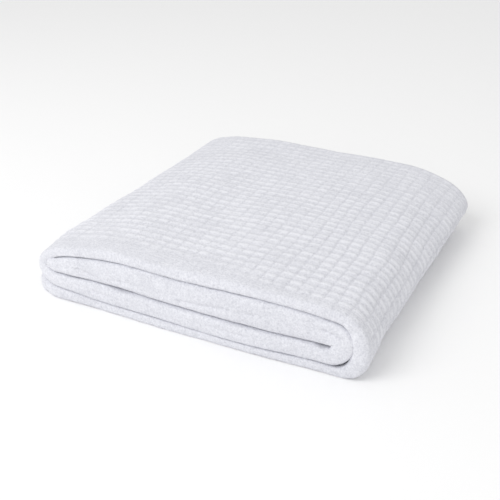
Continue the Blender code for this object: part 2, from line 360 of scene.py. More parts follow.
def layer_slope(number, x, y):
    """How steep a layer's middle line is."""
    ahead, behind = layer_line(number, x + SLOPE_STEP, y)[0], layer_line(number, x - SLOPE_STEP, y)[0]
    return (ahead - behind) / (2 * SLOPE_STEP)


def turn_line(number, t, y):
    """x, z and thickness of a turn's middle line, at t from 0 to 1."""
    turn = TURNS[number]
    start, reach = turn_place(number, y)
    at_end = 1.0 - smooth(y, END_FROM, END_TO)
    reach = reach - at_end * turn.full / 2
    square = mix(turn.square, turn.end_square, at_end)
    sag = mix(turn.sag, turn.end_sag, at_end)
    sideways, rise = turned(t, square, sag * -turn.side)
    x = start + turn.side * reach * sideways
    z_in, thick_in = layer_line(number, start, y)
    z_out, thick_out = layer_line(number + 1, start, y)
    slope_in, slope_out = layer_slope(number, start, y), layer_slope(number + 1, start, y)
    lead = (x - start) * np.exp(-reach * sideways / LEAD)
    z = mix(z_in, z_out, rise) + mix(slope_in, slope_out, smooth(t, *SLOPE_CHANGE)) * lead
    fuller = at_end * turn.full * np.sin(np.pi * t**FULL_SKEW) ** 2
    return x, z, mix(thick_in, thick_out, rise) + fuller


def strip_line(along, y):
    """x, z and thickness of the strip's middle line."""
    x, z, thick = (np.zeros_like(y) for _ in range(3))
    for number in range(len(LAYERS)):
        here = (along >= 2 * number) & (along <= 2 * number + 1)
        start, end = layer_ends(number, y[here])
        x[here] = mix(start, end, along[here] - 2 * number)
        z[here], thick[here] = layer_line(number, x[here], y[here])
    for number in range(len(TURNS)):
        here = (along > 2 * number + 1) & (along < 2 * number + 2)
        x[here], z[here], thick[here] = turn_line(number, along[here] - 2 * number - 1, y[here])
    return x, z, thick


def outward(along, y):
    """The direction, in X and Z, of the strip's outer side."""
    ahead, behind = np.minimum(along + ALONG_STEP, ALONG_END), np.maximum(along - ALONG_STEP, 0.0)
    x_ahead, z_ahead, _ = strip_line(ahead, y)
    x_behind, z_behind, _ = strip_line(behind, y)
    dx, dz = x_ahead - x_behind, z_ahead - z_behind
    length = np.hypot(dx, dz)
    return dz / length, -dx / length


# %% [markdown]
# ## The cloth's real lengths
#
# The waffle's columns are woven at even distances along the cloth, so they have to be counted in real
# length, not in layers. The path round the wide right turn is longer at the back than at the front, and
# that makes the columns lean a little, as they do on the real pile. A table of path lengths at a row of
# depths turns a length of cloth into a place on the strip. Deep inside the pile, where nobody looks, the
# lengths are eased until the cloth's inner end comes out straight.

# %% Lengths along the strip
TABLE_ALONG = np.linspace(0.0, ALONG_END, 3601)  # stations along the strip
TABLE_Y = np.linspace(-0.19, 0.19, 20)  # depths, from in front of the pile to behind it
EASE_FROM, EASE_TO = 0.98, 1.34  # metres of cloth over which the lengths are eased


def running_length(a, b):
    """Length of a line through points, from its first point to each."""
    return np.concatenate([[0.0], np.cumsum(np.hypot(np.diff(a), np.diff(b)))])


def path_lengths(y):
    """Length of the strip's middle line from its outer end to each station of the table, at one depth."""
    x, z, _ = strip_line(TABLE_ALONG, np.full_like(TABLE_ALONG, y))
    return running_length(x, z)


LENGTH_TABLE = [path_lengths(y) for y in TABLE_Y]
LENGTH_MIDDLE = path_lengths(0.0)
CLOTH_LONG = LENGTH_MIDDLE[-1]


def station(length, y):
    """The place along the strip of a length of cloth, at depth y."""
    exact = np.zeros_like(length)
    for table_y, lengths in zip(TABLE_Y, LENGTH_TABLE):
        near = np.clip(1.0 - np.abs(y - table_y) / (TABLE_Y[1] - TABLE_Y[0]), 0.0, 1.0)
        exact += near * np.interp(length, lengths, TABLE_ALONG)
    eased = np.interp(length, LENGTH_MIDDLE, TABLE_ALONG)
    return mix(exact, eased, smooth(length, EASE_FROM, EASE_TO))


def length_at(along):
    """Metres of cloth up to a place along the strip, at mid depth."""
    return np.interp(along, TABLE_ALONG, LENGTH_MIDDLE)


turn_starts = [round(float(length_at(2 * number + 1)), 3) for number in range(len(TURNS))]
print(f"The cloth is {CLOTH_LONG:.3f} m long; its turns start at", turn_starts)

# %% [markdown]
# ## The strip's section
#
# Cut across, the strip is one sheet in four plies: the lowest, the outermost, and two between them. The
# closed folds are at the front, one wrapped round the other, and one closed fold and both cloth edges
# are at the back. "across" counts plies and folds in the same way as "along" counts layers and turns.

# %% The section
PLY_SHARES = (-1.0, 1.0, 1 / 3, -1 / 3)  # height of each ply, as a share of the strip's half thickness
OUTER_PLY = 2  # the ply that shows on the top and the sides lies across 2 to 3
TOP_MIDDLE = 2.5  # along: the middle of the top layer, where the rows' places are taken
ROW_EASE = 0.08  # share of that ply, at either end, where its rows follow the pile's edge
WRAP_RISE, WRAP_FALL = (1.2, 1.7), (3.3, 3.8)  # along: where the wrap's upper corner gets round, and stops
UPPER_CORNER = (0.4, 0.8)  # share of the front fold over which it does
INNER_RISE = (2 * len(TURNS) - 0.3, 2 * len(TURNS) + 0.1)  # along: where the inner layer draws back


def edge_inset(along, column):
    """How far the strip's front or back edge stands in from the pile's, smoothly through the turns."""
    number = np.clip(along / 2, 0, len(LAYERS) - 1)
    low = np.floor(number).astype(int)
    high = np.minimum(low + 1, len(LAYERS) - 1)
    insets = np.array([getattr(layer, column) for layer in LAYERS])
    return mix(insets[low], insets[high], smooth(number - low, 0.5, 1.0))


def strip_edges(along):
    """y of the strip's front and back edges, with the pile's rounded corners and the edges' own waves."""
    edges = []
    for side, column, corners in ((-1, "front_inset", FRONT_CORNERS), (+1, "back_inset", BACK_CORNERS)):
        x, _, _ = strip_line(along, np.full_like(along, side * PILE_DEPTH / 2))
        left, right = (np.clip(1.0 - away / CORNER, 0.0, 1.0) ** 2 for away in (x, PILE_WIDTH - x))
        inset = edge_inset(along, column) + corners[0] * left + corners[1] * right
        inset = inset + EDGE_WAVE * (1.0 + wave(x, 0.0, side) * np.cos(along / 2))
        if side < 0:
            inset = inset + FRONT_DRAW * smooth(x, DRAW_FROM, DRAW_TO)
            inner = smooth(along, *INNER_RISE)
            inset = inset + inner * HANG_TO * np.minimum(1.0, RECESS_RATE * hang(x))
        edges.append(side * (PILE_DEPTH / 2 - inset))
    return edges


def fold_lines(along):
    """y of the outer front fold's and the back fold's start, and the strip's half thickness at the front."""
    front, back = strip_edges(along)
    half = (strip_line(along, front)[2] - CLOTH) / 2
    return front + NOSE * half + CLOTH / 2, back - half / 3 - CLOTH / 2, half


ROW_FRONT, ROW_BACK = (float(value[0]) for value in fold_lines(np.array([TOP_MIDDLE]))[:2])
print(f"On the top layer the rows of the waffle start at Y {ROW_FRONT:.3f} and end at {ROW_BACK:.3f} m")

# %% [markdown]
# The section itself goes ply by ply and fold by fold. A closed fold is a half turn too, only flatter.

# %% Plies and folds
def nose_square(along, t):
    """How square a front fold is at t, from 0 to 1: the upper corner of the wrap is round."""
    wrap = plateau(along, WRAP_RISE, WRAP_FALL)
    return NOSE_SQUARE * (1.0 - wrap * smooth(t, *UPPER_CORNER))


def section(along, across):
    """y of a point of the strip's section, and its height as a share of the half thickness."""
    front_fold, back_fold, half = fold_lines(along)
    back = back_fold + half / 3 + CLOTH / 2
    ends = ((back, front_fold), (front_fold, back_fold), (back_fold, front_fold), (front_fold, back))
    y, share = np.zeros_like(along), np.zeros_like(along)
    for number, (start, end) in enumerate(ends):
        here = (across >= 2 * number) & (across <= 2 * number + 1)
        y[here] = mix(start[here], end[here], across[here] - 2 * number)
        share[here] = PLY_SHARES[number]
    for number in range(len(ends) - 1):
        here = (across > 2 * number + 1) & (across < 2 * number + 2)
        at_back = number == 1
        t = across[here] - 2 * number - 1
        out, over = turned(t, 0.0 if at_back else nose_square(along[here], t))
        height_in, height_out = PLY_SHARES[number], PLY_SHARES[number + 1]
        bulge = abs(height_out - height_in) / 2 * half[here] * (1.0 if at_back else NOSE)
        y[here] = ends[number][1][here] + (bulge if at_back else -bulge) * out
        share[here] = mix(height_in, height_out, over)
    within = np.clip(across - OUTER_PLY, 0.0, 1.0)
    straight = plateau(within, (0.0, ROW_EASE), (1.0 - ROW_EASE, 1.0))
    return mix(y, mix(ROW_FRONT, ROW_BACK, within), straight), share


TABLE_ACROSS = np.linspace(0.0, 2 * len(PLY_SHARES) - 1, 2801)
section_y, section_share = section(np.full_like(TABLE_ACROSS, TOP_MIDDLE), TABLE_ACROSS)
section_half = fold_lines(np.array([TOP_MIDDLE]))[2][0]
WIDTH_TABLE = running_length(section_y, section_share * section_half)
CLOTH_WIDE = WIDTH_TABLE[-1]


def width_at(across):
    """Metres of cloth up to a place across the strip, in the middle of the top layer."""
    return np.interp(across, TABLE_ACROSS, WIDTH_TABLE)


print(f"The cloth is {CLOTH_WIDE:.3f} m wide; its folds start at", [round(width_at(k), 3) for k in (1, 3, 5)])

# %% [markdown]
# ## Fold a point of the cloth
#
# Now any point of the flat sheet, so far along and so far across, has its place in the pile. Before the
# rule is used, it is tried on a few thousand points, and their distance from the plain solid is measured.

# %% Fold
def fold(length, width):
    """Places of the cloth's middle surface, as rows of x, y and z."""
    across = np.interp(width, WIDTH_TABLE, TABLE_ACROSS)
    along = np.interp(length, LENGTH_MIDDLE, TABLE_ALONG)
    for _ in range(2):  # each round brings "along" nearer to its true value
        y, share = section(along, across)
        along = station(length, y)
    y, share = section(along, across)
    x, z, thick = strip_line(along, y)
    out_x, out_z = outward(along, y)
    height = share * (thick - CLOTH) / 2
    z = z + height * out_z
    z = np.where(z < CLOTH / 2 + SETTLED, CLOTH / 2, z)
    return np.stack([x + height * out_x - PILE_WIDTH / 2, y, z], axis=-1)


def solid_tree(name):
    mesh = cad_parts[name].data
    return BVHTree.FromPolygons([v.co for v in mesh.vertices], [p.vertices[:] for p in mesh.polygons])


blanket_solid = solid_tree("blanket")
shares = np.linspace(0.01, 0.99, 60)
trial_along, trial_across = np.meshgrid(shares * CLOTH_LONG, shares * CLOTH_WIDE)
trial = fold(trial_along.ravel(), trial_across.ravel())
misses = 1000 * np.array([blanket_solid.find_nearest(point)[3] for point in trial])
print(f"The fold lies {misses.mean():.2f} mm from the solid's faces, {misses.max():.2f} at most")

# %% [markdown]
# ## The waffle
#
# Waffle cloth is woven so that its yarns float over each other in squares. The floats shrink and pull
# the squares into soft puffs, parted by narrow grooves. On this blanket the rows of puffs show all over,
# while the grooves between its columns, from front to back, are sharp at the right and soft at the left.
# A displacement map could do it, but the puffs are shapes that one can feel, so they are made in the
# mesh: one height for every point of the flat cloth. No two puffs are alike, and the rows wander.

# %% Waffle
CELL_LONG = 0.0130  # along the strip: 29 columns over the top
CELL_WIDE = 0.0111  # across it: 33 rows from front to back
PUFF = 0.0008  # how high a puff rises
SOFT_COLUMNS, SHARP_COLUMNS = 0.45, 0.70  # share of it that is lost between the columns
COLUMN_FALL = 4  # a puff is flat along its row, and the flatter the higher this power
COLUMN_GROOVE, COLUMN_GROOVE_WIDE = 0.0004, 0.0009  # depth and half width of the sharp grooves there
DIMPLE, DIMPLE_WIDE = 0.0006, 0.0015  # how much deeper it is where two grooves cross
UNEVEN = 0.45  # how much the puffs differ in height
COLUMN_WANDER, ROW_WANDER = 0.07, 0.13  # how far the grooves stray, as a share of a cell
WANDER_LONG = (0.060, 0.110)  # metres over which the columns and the rows wander
STRAIGHT_EDGE = 0.05  # no wandering at the cloth's own edges, more and more up to this far in
RIPPLE_WAVES, RIPPLE_SPREAD, RIPPLE_PEAK = 7, (0.7, 1.6), 3.0  # number, range of lengths, height of the sum
PUFF_SEED, COLUMN_SEED, ROW_SEED = 8, 3, 4  # of the puffs' sizes, and of the columns' and rows' wandering
PUFF_TABLE = 160  # sizes for so many columns and rows

size_range = 1.0 - UNEVEN, 1.0 + UNEVEN
puff_sizes = np.random.default_rng(PUFF_SEED).uniform(*size_range, (PUFF_TABLE, PUFF_TABLE))


def ripple(a, b, wavelength, seed):
    """Soft uneven hills between about -1 and 1, from a few crossing waves."""
    random = np.random.default_rng(seed)
    height = np.zeros_like(a)
    for _ in range(RIPPLE_WAVES):
        angle, phase = random.uniform(0.0, 2 * np.pi, 2)
        long = wavelength * random.uniform(*RIPPLE_SPREAD)
        height += np.sin(2 * np.pi * (a * np.cos(angle) + b * np.sin(angle)) / long + phase)
    return height / RIPPLE_PEAK


def cloth_place(column, row):
    """Metres along and across the flat cloth of a point counted in cells, with the weave's wandering."""
    length, width = column * CELL_LONG, row * CELL_WIDE
    for _ in range(3):  # the wandering depends on the place, so it is found in a few rounds
        from_edge = np.minimum(
            np.minimum(length, CLOTH_LONG - length),
            np.minimum(width, CLOTH_WIDE - width),
        )
        free = smooth(from_edge, 0.0, STRAIGHT_EDGE)
        stray_column = free * COLUMN_WANDER * ripple(length, width, WANDER_LONG[0], COLUMN_SEED)
        stray_row = free * ROW_WANDER * ripple(length, width, WANDER_LONG[1], ROW_SEED)
        length, width = (column + stray_column) * CELL_LONG, (row + stray_row) * CELL_WIDE
    return np.clip(length, 0.0, CLOTH_LONG), np.clip(width, 0.0, CLOTH_WIDE)


spots = np.meshgrid(shares, shares)
stray = 1000 * CELL_LONG * COLUMN_WANDER * np.abs(ripple(*spots, WANDER_LONG[0], COLUMN_SEED))
print(f"The columns stray by {stray.max():.1f} mm at most")

# %% [markdown]
# A puff is a pillow in its cell: round from row to row, flatter from column to column, with a groove and
# deeper corners.

# %% Puffs
def waffle_height(column, row, sharp):
    """Height of the waffle over the bottom of its grooves, in metres. Its columns are more or less sharp."""
    in_column, in_row = column % 1.0, row % 1.0
    own_column, own_row = (np.floor(cell).astype(int) % PUFF_TABLE for cell in (column, row))
    size = puff_sizes[own_column, own_row]
    loss = mix(SOFT_COLUMNS, SHARP_COLUMNS, sharp) * np.abs(2 * in_column - 1.0) ** COLUMN_FALL
    pillow = (1.0 - loss) * np.sin(np.pi * in_row) ** 2
    to_column = np.minimum(in_column, 1.0 - in_column) * CELL_LONG
    to_row = np.minimum(in_row, 1.0 - in_row) * CELL_WIDE
    groove = np.exp(-((to_column / COLUMN_GROOVE_WIDE) ** 2))
    dimple = np.exp(-(to_column**2 + to_row**2) / DIMPLE_WIDE**2)
    return PUFF * size * pillow - COLUMN_GROOVE * sharp * groove - DIMPLE * dimple


patch = np.linspace(40.0, 46.0, 300)
patch_heights = waffle_height(*(side.ravel() for side in np.meshgrid(patch, patch)), sharp=1.0)
print(f"The waffle is {1000 * np.ptp(patch_heights):.1f} mm from groove to puff")

# %% [markdown]
# ## The flat sheet
#
# The sheet is meshed flat, as a grid with two sides. One fine grid all over would be simple, but most of
# its faces would be hidden in the pile. Only what shows needs fine faces: a cell of the waffle on the top
# and the sides gets six by six, and the plies inside the pile get few. So the grid starts coarse, with its
# lines between the cells, and the cells that show are subdivided.

# %% Lines of the flat grid
FOLD_LINES = (15, 7, 6)  # lines over the outer front fold, the back fold and the inner front fold
HIDDEN_STEP = 3  # cells between the lines of a hidden ply
SELVEDGE = (0.0, 0.004, 0.009)  # lines near the cloth's long edges
HEM_LINES = (0.0, 0.0065)  # and near its outer end


def cells(length, cell, up=False):
    """Whole cells in a length, rounded down or up."""
    return int(math.ceil(length / cell) if up else math.floor(length / cell))


def column_line(along, up=False):
    """The line between two columns that is next to a place along the strip, as metres of cloth."""
    return CELL_LONG * cells(length_at(along), CELL_LONG, up)


def row_line(across, up=False):
    """The line between two rows that is next to a place across it."""
    return CELL_WIDE * cells(width_at(across), CELL_WIDE, up)


def even(start, end, count):
    """count steps from start to end, without the start."""
    return [start + (end - start) * (i + 1) / count for i in range(count)]


def lines_along():
    """Lines across the strip: one for each column of the waffle, and three in the tight inner turns."""
    tight = [(cells(length_at(k), CELL_LONG), cells(length_at(k + 1), CELL_LONG, True)) for k in (5, 7)]
    lines = list(HEM_LINES)
    for number in range(cells(CLOTH_LONG, CELL_LONG)):
        steps = 3 if any(low <= number < high for low, high in tight) else 1
        lines += even(number * CELL_LONG, (number + 1) * CELL_LONG, steps)
    lines[-1] = CLOTH_LONG
    return np.array(lines)


def lines_across():
    """Lines along the strip: over the folds, one for each row on the outer ply, and fewer inside."""
    turns = [(row_line(k), row_line(k + 1, True)) for k in (1, 3, 5)]
    plies = [(SELVEDGE[-1], turns[0][0]), (turns[0][1], turns[1][0]), (turns[1][1], turns[2][0])]
    plies.append((turns[2][1], CLOTH_WIDE - SELVEDGE[-1]))
    lines = list(SELVEDGE)
    for number, (start, end) in enumerate(plies):
        step = 1 if number == 1 else HIDDEN_STEP
        lines += even(start, end, round((end - start) / CELL_WIDE / step))
        if number < len(turns):
            lines += even(*turns[number], FOLD_LINES[number])
    lines += [CLOTH_WIDE - edge for edge in reversed(SELVEDGE[:-1])]
    return np.array(lines)


along_lines, across_lines = lines_along(), lines_across()
print("The flat grid has", len(along_lines), "lines one way and", len(across_lines), "the other")

# %% [markdown]
# `bmesh` makes the grid, gives it its second side, and cuts the edges of the cells that show. The flat
# sheet lies with its outer side down, because folding turns it over: that keeps all its faces outwards.

# %% The two-sided sheet
SIDE = 0.01  # the two sides lie this far apart while the sheet is flat
BEFORE_CLOTH = -1.0  # a patch from here on takes in the cloth's outer end
TINY = 1e-5  # two lengths that differ by less are the same
Patch = namedtuple("Patch", "name along_from along_to across_from across_to cuts_along cuts_across")


def showing_patches():
    """The parts of the outer side that are cut finer, in metres of flat cloth."""
    wrap = column_line(1), column_line(4, True)
    fold_from, ply_from = row_line(1), row_line(2, True)
    ply_to, fold_to = row_line(3), row_line(4, True)
    beside = 0.5 * CELL_LONG
    return (
        Patch("wrap, columns", *wrap, fold_from, fold_to, 5, 0),
        Patch("wrap, rows", *wrap, ply_from, ply_to, 0, 5),
        Patch("underside", BEFORE_CLOTH, wrap[0] - beside, ply_from, ply_to, 2, 2),
        Patch("bottom front", BEFORE_CLOTH, wrap[0] - beside, fold_from, ply_from - beside, 2, 0),
        Patch("inner fronts", wrap[1] + beside, length_at(7), fold_from, ply_from, 2, 3),
    )


def edges_in(bm, patch, along_way):
    """Edges of the outer side in a patch that run along the cloth, or across it."""
    found = []
    for edge in bm.edges:
        a, b = edge.verts[0].co, edge.verts[1].co
        if a.z > 0.0 or b.z > 0.0 or (abs(a.y - b.y) < TINY) != along_way:
            continue
        x, y = (a.x + b.x) / 2, (a.y + b.y) / 2
        in_along = patch.along_from - TINY < x < patch.along_to + TINY
        if in_along and patch.across_from - TINY < y < patch.across_to + TINY:
            found.append(edge)
    return found


def flat_sheet():
    bm = bmesh.new()
    counts = len(along_lines) - 1, len(across_lines) - 1
    bmesh.ops.create_grid(bm, x_segments=counts[0], y_segments=counts[1], size=0.5)
    for vert in bm.verts:
        column = round((vert.co.x + 0.5) * counts[0])
        row = round((vert.co.y + 0.5) * counts[1])
        vert.co = (along_lines[column], across_lines[row], -SIDE / 2)
    under = bm.faces[:]
    doubled = bmesh.ops.duplicate(bm, geom=under)["geom"]
    upper = [item for item in doubled if isinstance(item, bmesh.types.BMVert)]
    bmesh.ops.translate(bm, vec=(0.0, 0.0, SIDE), verts=upper)
    bmesh.ops.reverse_faces(bm, faces=under)
    rims = [edge for edge in bm.edges if edge.is_boundary]
    bmesh.ops.bridge_loops(bm, edges=rims)
    bmesh.ops.recalc_face_normals(bm, faces=bm.faces)
    for patch in showing_patches():
        for cuts, along_way in ((patch.cuts_along, True), (patch.cuts_across, False)):
            if cuts:
                edges = edges_in(bm, patch, along_way)
                bmesh.ops.subdivide_edges(bm, edges=edges, cuts=cuts, use_grid_fill=True)
        print(f"  {patch.name}: {len(bm.faces)} faces")
    return bm


sheet = flat_sheet()
closed = all(edge.is_manifold for edge in sheet.edges)
print("The flat sheet has", len(sheet.verts), "points and is closed:", closed)

# %% [markdown]
# ## Creases
#
# The pile's big folds are in the rule above. What is left are the small creases along its front, which
# a hand leaves when it pats the pile straight. Noise could scatter some, but not where the real ones are,
# so they are placed one by one. Each is a soft trough between two places on the front, x from the pile's
# left side and z from the floor, both in metres.

# %% Creases
Crease = namedtuple("Crease", "layer x_from z_from x_to z_to wide deep")
CREASES = (
    Crease("second", 0.258, 0.0445, 0.280, 0.0460, 0.0016, 0.0016),
    Crease("second", 0.340, 0.0465, 0.362, 0.0415, 0.0014, 0.0022),
    Crease("second", 0.188, 0.0375, 0.244, 0.0435, 0.0016, 0.0021),
    Crease("second", 0.112, 0.0425, 0.140, 0.0415, 0.0018, 0.0015),
    Crease("second", 0.066, 0.0445, 0.088, 0.0405, 0.0015, 0.0020),
    Crease("third", 0.334, 0.0285, 0.347, 0.0262, 0.0016, 0.0022),
    Crease("third", 0.090, 0.0300, 0.134, 0.0325, 0.0016, 0.0018),
    Crease("third", 0.225, 0.0200, 0.262, 0.0190, 0.0020, 0.0012),
    Crease("third", 0.060, 0.0250, 0.105, 0.0215, 0.0020, 0.0012),
    Crease("top", 0.060, 0.0640, 0.105, 0.0675, 0.0022, 0.0006),
    Crease("top", 0.180, 0.0690, 0.235, 0.0695, 0.0030, 0.0006),
    Crease("bottom", 0.110, 0.0070, 0.165, 0.0060, 0.0016, 0.0005),
)
FRONT_ONLY = -0.150  # creases reach back to this Y
CREASE_REACH = 1.0  # and this far along the strip from the middle of their layer


def crease_depth(places, along):
    """How far the cloth is drawn in by its creases at each place."""
    depth = np.zeros(len(places))
    x, y, z = places[:, 0] + PILE_WIDTH / 2, places[:, 1], places[:, 2]
    names = [layer.name for layer in LAYERS]
    for crease in CREASES:
        number = names.index(crease.layer)
        near = (np.abs(along - 2 * number - 0.5) < CREASE_REACH) & (y < FRONT_ONLY)
        run_x, run_z = crease.x_to - crease.x_from, crease.z_to - crease.z_from
        long = math.hypot(run_x, run_z)
        t = ((x - crease.x_from) * run_x + (z - crease.z_from) * run_z) / long**2
        t = np.clip(t, 0.0, 1.0)
        away = np.hypot(x - crease.x_from - t * run_x, z - crease.z_from - t * run_z)
        depth += np.where(near, crease.deep * np.exp(-((away / crease.wide) ** 2)), 0.0)
    return depth


print(len(CREASES), "creases are placed by hand")

# %% [markdown]
# ## Fold the sheet
#
# A curve could bend the sheet one way, but this cloth is bent two ways at once, so the rule places it.
# Every point of the flat sheet goes to its place in the pile, and from there out along the surface's own
# direction: half the cloth's thickness, and the height of the waffle where it shows. The waffle fades
# over the front rolls, where the cloth is stretched smooth, and lies pressed in on the underside.

# %% How much of the waffle shows
STEP = 0.0004  # the surface's direction is taken over this much cloth
ROLL_FADE_LEFT, ROLL_FADE_RIGHT = (-0.172, -0.140), (-0.178, -0.162)  # Y where the waffle comes in
TO_RIGHT = (0.20, 0.30)  # x over which the left fade changes into the right one
BACK_STRENGTH, BACK_FADE = 0.65, (0.02, 0.17)  # of the waffle along the back edge, and the Y where it sinks
SHARP_FROM, SHARP_TO, LEAST_SHARP = 0.20, 0.32, 0.15  # its columns get sharper between these x
ROLL_STRENGTH = 0.15  # of the waffle on the front rolls
LOOSE, LOOSE_LONG, LOOSE_SEED = 0.0004, 0.075, 5  # how far and how long the cloth undulates where it shows
LOOSE_FRONT = 0.7  # share of that on the front rolls
CRIMP, CRIMP_LONG, CRIMP_SEED = 0.00015, 0.016, 6  # and their small wrinkles
LOFT = 0.0002  # how much the inner side is fuller than the pressed cloth
DEEPER = 0.0009  # and how much deeper it lies under the waffle that shows
CROWD_COLUMNS, CROWD_ROWS = 0.70, 0.10  # how much the grid's lines crowd towards the grooves
HEM_LONG, HEM_THICK = 0.013, 0.0007  # the hem at the outer end, and how much thicker it is on each side
HEM_STEP = 0.002  # length over which the hem ends

# Parts of the cloth, by where they come in and where they go, across and along the strip.
OUTER_RISE, OUTER_FALL = (1.95, 2.02), (3.0, 3.3)  # across: the ply that shows
WRAP_IN, WRAP_OUT = (0.98, 1.12), (3.88, 4.02)  # along: the top layer with the turns beside it
FRONT_RISE, FRONT_FADE = (0.98, 1.15), (1.9, 2.05)  # across: the outer front fold
UNDER_RISE, UNDER_FALL = (1.9, 2.0), (3.0, 3.1)  # across: the ply on the floor
UNDER_END = (0.95, 1.02)  # along: where it ends


def surface_directions(length, width):
    """The outward direction of the cloth's outer side."""
    ahead, behind = np.minimum(length + STEP, CLOTH_LONG), np.maximum(length - STEP, 0.0)
    right, left = np.minimum(width + STEP, CLOTH_WIDE), np.maximum(width - STEP, 0.0)
    down_cloth = fold(ahead, width) - fold(behind, width)
    over_cloth = fold(length, right) - fold(length, left)
    direction = np.cross(over_cloth, down_cloth)
    return direction / np.linalg.norm(direction, axis=1)[:, None]


def waffle_strength(places, along, across):
    """How much of the waffle shows, from 0 to 1."""
    x, y = places[:, 0] + PILE_WIDTH / 2, places[:, 1]
    wrap = plateau(across, OUTER_RISE, OUTER_FALL) * plateau(along, WRAP_IN, WRAP_OUT)
    to_right = smooth(x, *TO_RIGHT)
    fade_from, fade_to = (mix(left, right, to_right) for left, right in zip(ROLL_FADE_LEFT, ROLL_FADE_RIGHT))
    return wrap * smooth(y, fade_from, fade_to) * mix(1.0, BACK_STRENGTH, smooth(y, *BACK_FADE))


def underside(along, across):
    """1 on the ply that lies on the floor, and 0 elsewhere."""
    return (1.0 - smooth(along, *UNDER_END)) * plateau(across, UNDER_RISE, UNDER_FALL)


top_strength = waffle_strength(np.zeros((1, 3)), np.array([TOP_MIDDLE]), np.array([OUTER_PLY + 0.5]))
print("In the middle of the top the waffle shows with a strength of", top_strength[0].round(2))

# %% [markdown]
# With these, each point gets its place. The grid's lines crowd a little towards the grooves, where the
# shape bends most, and the inner side follows the outer one at the cloth's thickness.

# %% Place every point
def crowded(cell, crowd):
    """Draws the lines of the grid together near the grooves, which lie at whole numbers."""
    return cell - crowd * np.sin(2 * np.pi * cell) / (2 * np.pi)


def folded_places(column, row, outer):
    """Where each point of the sheet lies, how much of its waffle shows, and if it is on a front roll."""
    length, width = cloth_place(column, row)
    places = fold(length, width)
    across = np.interp(width, WIDTH_TABLE, TABLE_ACROSS)
    along = station(length, places[:, 1])
    direction = surface_directions(length, width)
    shows = waffle_strength(places, along, across)
    pressed = underside(along, across)
    sharp = mix(LEAST_SHARP, 1.0, smooth(places[:, 0] + PILE_WIDTH / 2, SHARP_FROM, SHARP_TO))
    height = waffle_height(column, row, sharp) - PUFF
    front = plateau(across, FRONT_RISE, FRONT_FADE)
    free = 1.0 - pressed
    loose = LOOSE * ripple(length, width, LOOSE_LONG, LOOSE_SEED)
    loose = loose * np.maximum(shows, LOOSE_FRONT * front) * free
    crimp = CRIMP * ripple(length, width, CRIMP_LONG, CRIMP_SEED) * front
    waffle = np.maximum(shows, ROLL_STRENGTH * front) * free * height
    lift = waffle + loose + crimp + pressed * np.minimum(height, 0.0)
    hem = 1.0 - smooth(length, HEM_LONG - HEM_STEP, HEM_LONG)
    lift = mix(lift, 0.0, hem) - crease_depth(places, along)
    outer_offset = CLOTH / 2 + lift + hem * HEM_THICK * free
    inner_offset = CLOTH / 2 + LOFT + hem * HEM_THICK + DEEPER * shows
    offset = np.where(outer, outer_offset, -inner_offset)
    places = places + offset[:, None] * direction
    places[:, 2] = np.maximum(places[:, 2], 0.0)
    return places, shows, front


flat = np.array([vert.co for vert in sheet.verts])
on_outer = flat[:, 2] < 0.0
columns, rows = crowded(flat[:, 0] / CELL_LONG, CROWD_COLUMNS), crowded(flat[:, 1] / CELL_WIDE, CROWD_ROWS)
places, waffle_shows, front_rolls = folded_places(columns, rows, on_outer)
for vert, place in zip(sheet.verts, places):
    vert.co = place
print("The lowest point of the cloth is", round(1000 * places[:, 2].min(), 2), "mm above the floor")

# %% [markdown]
# ## The blanket as an object
#
# The folded mesh becomes an object. The shader has to know where it is in the weave, so each point keeps
# its column and row, how much of the waffle shows there, and if it is on a front roll. A UV map could
# carry two of these four numbers. Attributes of the mesh carry them all.

# %% The blanket
def blanket_object():
    mesh = bpy.data.meshes.new("blanket_cloth")
    sheet.to_mesh(mesh)
    weave = mesh.attributes.new("weave", "FLOAT_VECTOR", "POINT")
    values = np.stack([columns, rows, waffle_shows], axis=-1)
    weave.data.foreach_set("vector", values.astype(np.float32).ravel())
    rolls = mesh.attributes.new("front_roll", "FLOAT", "POINT")
    rolls.data.foreach_set("value", front_rolls.astype(np.float32))
    mesh.shade_smooth()
    return in_scene("blanket_cloth", mesh)


blanket = blanket_object()
sheet.free()
blanket.data.calc_loop_triangles()
print("The blanket has", len(blanket.data.loop_triangles), "triangles")

# %% [markdown]
# ## White cotton
#
# Cotton is matt, a little fuzzy, and never one flat white. Each cell of the weave gets one short dash of
# painted highlight, and the grooves between the puffs get painted shade, a greyer cotton; the front rolls,
# where the waffle fades, are left greyer as painted shade too. The shader could be given a photographed
# weave, but a drawn one has no edges and fits the mesh exactly, because each point knows its own cell.
# Three weft floats cross each cell side by side. Specks of fuzz and lumps of fibre lie over everything in
# one size, so they don't stretch where the cloth does. Over the front rolls, where it is pulled smooth,
# the upright yarns show instead of the waffle.

# %% Numbers of the cotton
# The white of the cotton and its greyer tone. The greyer one is painted shade in the puffs' grooves, between
# the floats and over the front rolls, and also the dark end of the random specks.
COTTON = (0.820, 0.825, 0.872, 1.0)
COTTON_SHADED = (0.560, 0.566, 0.617, 1.0)
COTTON_LOOK = {"Roughness": 0.92, "Specular IOR Level": 0.25, "Sheen Weight": 0.20, "Sheen Roughness": 0.6}
FLOATS, FLOAT_EDGE = 3.0, 2.0  # weft floats side by side in a cell, and how steep their sides are
COLUMN_EDGE = 4.0  # how steeply they end at the columns' grooves
WEFT_YARNS, WARP_YARNS = (2.0, 12.0), (10.0, 3.0)  # strokes of yarn to a cell, along and across the strip
SPECK_DETAIL = 1.5  # how much finer detail the specks have
FUZZ_SIZE, GRAIN_SIZE, CLOUD_SIZE = 0.0015, 0.0032, 0.0400  # metres: specks of fuzz, lumps, soft patches
FLAT_SHOWS = 0.12  # how much of the waffle's shading is left where the cloth is stretched
HIGHLIGHT_NARROW, HIGHLIGHT_LEAST = 1.7, 0.4  # how narrow the painted highlight of each cell is, and the weakest one
BUMP, BUMP_DEEP = 0.9, 0.0005  # strength, and metres of height
